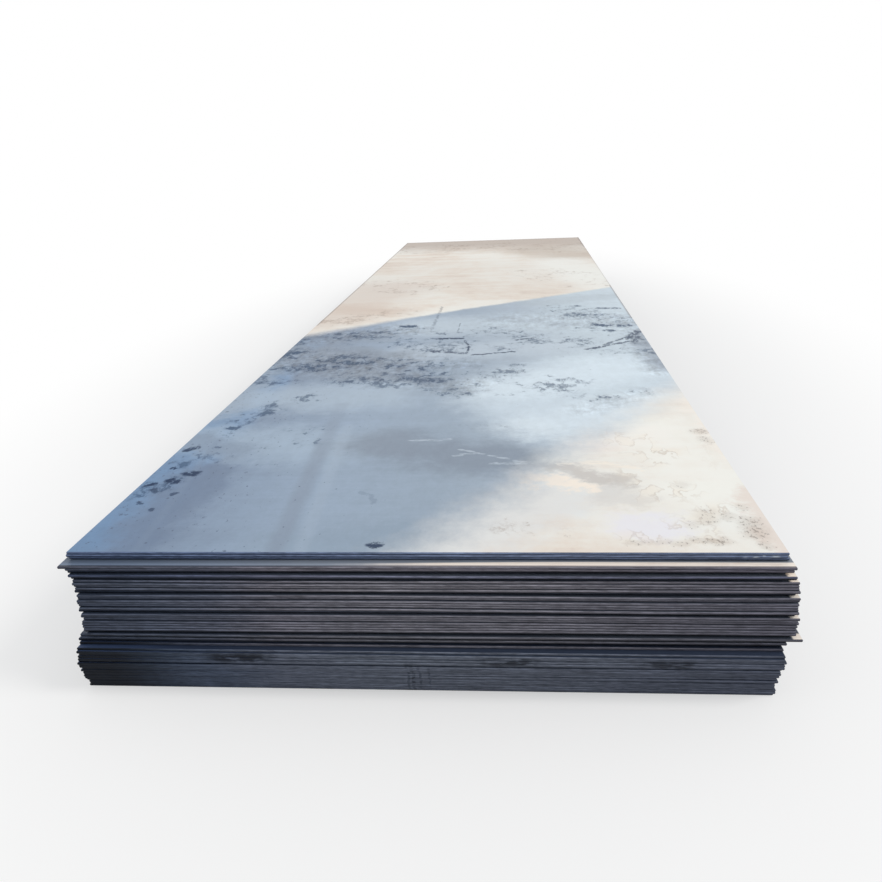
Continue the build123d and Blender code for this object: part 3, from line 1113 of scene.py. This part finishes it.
def make_edge_finish(name):
    """Dull sheared and rolled edges."""
    material, tree = new_finish(name)
    grain = Grain(tree)
    colour = edge_colour(tree, grain)
    tears = noise(tree, grain.spot, (160.0, 160.0, 900.0), detail=3.0, roughness=0.6)
    roughness = sloped(tree, tears, 0.3, 0.42)
    finish_surface(tree, colour, roughness, 0.15, tears, strength=0.3, depth=0.4 * MM)
    return material


(front_left, front_right), (back_left, back_right) = front_and_back(TOP_PLATE)
front_middle = (front_left + front_right) / 2
back_middle = (back_left + back_right) / 2
top_half_width = (front_right - front_left).length / 2
top_length = (back_middle - front_middle).length

plain_finish = make_face_finish("mill_scale", marked=False)
top_finish = make_face_finish("marked_mill_scale", marked=True)
edge_finish = make_edge_finish("sheared_edge")
plate_tree = make_plate_tree()

plates = {}
for seed, node in enumerate(sorted(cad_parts), start=edge_seed):
    plate_number = int(node.split("_")[1])
    look = next(row for row in LIFT_LOOKS if plate_number <= row.last)
    is_top = node == TOP_PLATE
    finish = top_finish if is_top else plain_finish
    grid = top_grid if is_top else plain_grid
    sun_reach = slot_floor_sun if plate_number in SLOT_FLOORS else look.sun_reach
    plates[node] = lay_plate(node, plate_tree, look, sun_reach, finish, grid, seed)

for node, piece in plates.items():
    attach(piece, "root")
    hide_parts(node)


# The floor, the light and the camera


def make_floor():
    """A pale floor that keeps the stack's shadow and runs out to white."""
    reach = 60.0
    stretch = (1.0, 0.4, 0.0)  # the shaded ground runs further along the stack than across it
    shadow_reach = 1.2
    white_reach = 3.2
    least_white = 0.4
    drop = -0.5 * MM  # so that the floor and the lowest plate don't share a plane
    mesh = bpy.data.meshes.new("floor")
    corners = [(-reach, -reach, 0.0), (reach, -reach, 0.0), (reach, reach, 0.0), (-reach, reach, 0.0)]
    mesh.from_pydata(corners, [], [(0, 1, 2, 3)])
    floor = bpy.data.objects.new("floor", mesh)
    bpy.context.scene.collection.objects.link(floor)
    material, tree = new_finish("pale_floor")
    spot = put(tree, "ShaderNodeTexCoord").outputs["Object"]
    distance = vector(tree, "LENGTH", vector(tree, "MULTIPLY", spot, stretch))
    rays = put(tree, "ShaderNodeLightPath").outputs
    plain = put(tree, "ShaderNodeBsdfDiffuse", {"Color": (0.9, 0.9, 0.9, 1.0)})
    white = put(tree, "ShaderNodeEmission", {"Color": (1.0, 1.0, 1.0, 1.0), "Strength": 1.0})
    seen = larger(tree, rays["Is Camera Ray"], rays["Is Glossy Ray"])
    far_off = fade(tree, distance, shadow_reach, white_reach)
    paler = sloped(tree, far_off, 1 - least_white, least_white)
    share = times(tree, paler, seen)
    blend = put(tree, "ShaderNodeMixShader", {0: share, 1: plain.outputs[0], 2: white.outputs[0]})
    put(tree, "ShaderNodeOutputMaterial", {"Surface": blend.outputs[0]})
    mesh.materials.append(material)
    floor.location.z = drop


def make_light():
    """An even pale surround and one soft lamp from the right."""
    surround_strength = 0.62
    surround_colour = (0.95, 0.975, 1.0, 1.0)
    lamp_strength = 1.4
    lamp_colour = (1.0, 0.97, 0.93)
    lamp_spread = math.radians(22.0)
    lamp_towards = Vector((-1.0, 0.12, -0.85))
    world = bpy.data.worlds.new("studio")
    bpy.context.scene.world = world
    world.use_nodes = True
    tree = world.node_tree
    tree.nodes.clear()
    rays = put(tree, "ShaderNodeLightPath").outputs
    seen = larger(tree, rays["Is Camera Ray"], rays["Is Glossy Ray"])
    seen = larger(tree, seen, rays["Is Transmission Ray"])
    soft = put(tree, "ShaderNodeBackground", {"Color": surround_colour, "Strength": surround_strength})
    white = put(tree, "ShaderNodeBackground", {"Color": (1.0, 1.0, 1.0, 1.0), "Strength": 1.0})
    blend = put(tree, "ShaderNodeMixShader", {0: seen, 1: soft.outputs[0], 2: white.outputs[0]})
    put(tree, "ShaderNodeOutputWorld", {"Surface": blend.outputs[0]})

    lamp = bpy.data.lights.new("soft_key", "SUN")
    lamp.angle = lamp_spread
    lamp.energy = lamp_strength
    lamp.color = lamp_colour
    holder = bpy.data.objects.new("soft_key", lamp)
    holder.rotation_euler = lamp_towards.to_track_quat("-Z", "Y").to_euler()
    bpy.context.scene.collection.objects.link(holder)


def make_camera():
    """The standing viewer in front of the stack, looking down on it and a little to the left."""
    view_yaw = math.radians(5.553)
    view_pitch = math.radians(-19.248)
    view_roll = math.radians(2.519)
    view_place = (0.2823, -6.0308, 1.4874)
    view_lens = 34.24
    turn = Matrix.Rotation(view_yaw, 3, "Z") @ Matrix.Rotation(view_pitch, 3, "X")
    turn = turn @ Matrix.Rotation(view_roll, 3, "Y")
    right, forward, up = turn.col
    camera = bpy.data.cameras.new("camera")
    camera.sensor_width = 36.0
    camera.lens = view_lens
    holder = bpy.data.objects.new("camera", camera)
    basis = Matrix((right, up, -forward)).transposed()
    holder.matrix_world = Matrix.Translation(view_place) @ basis.to_4x4()
    bpy.context.scene.collection.objects.link(holder)
    bpy.context.scene.camera = holder


make_floor()
make_light()
make_camera()
bpy.context.scene.view_settings.view_transform = "Standard"
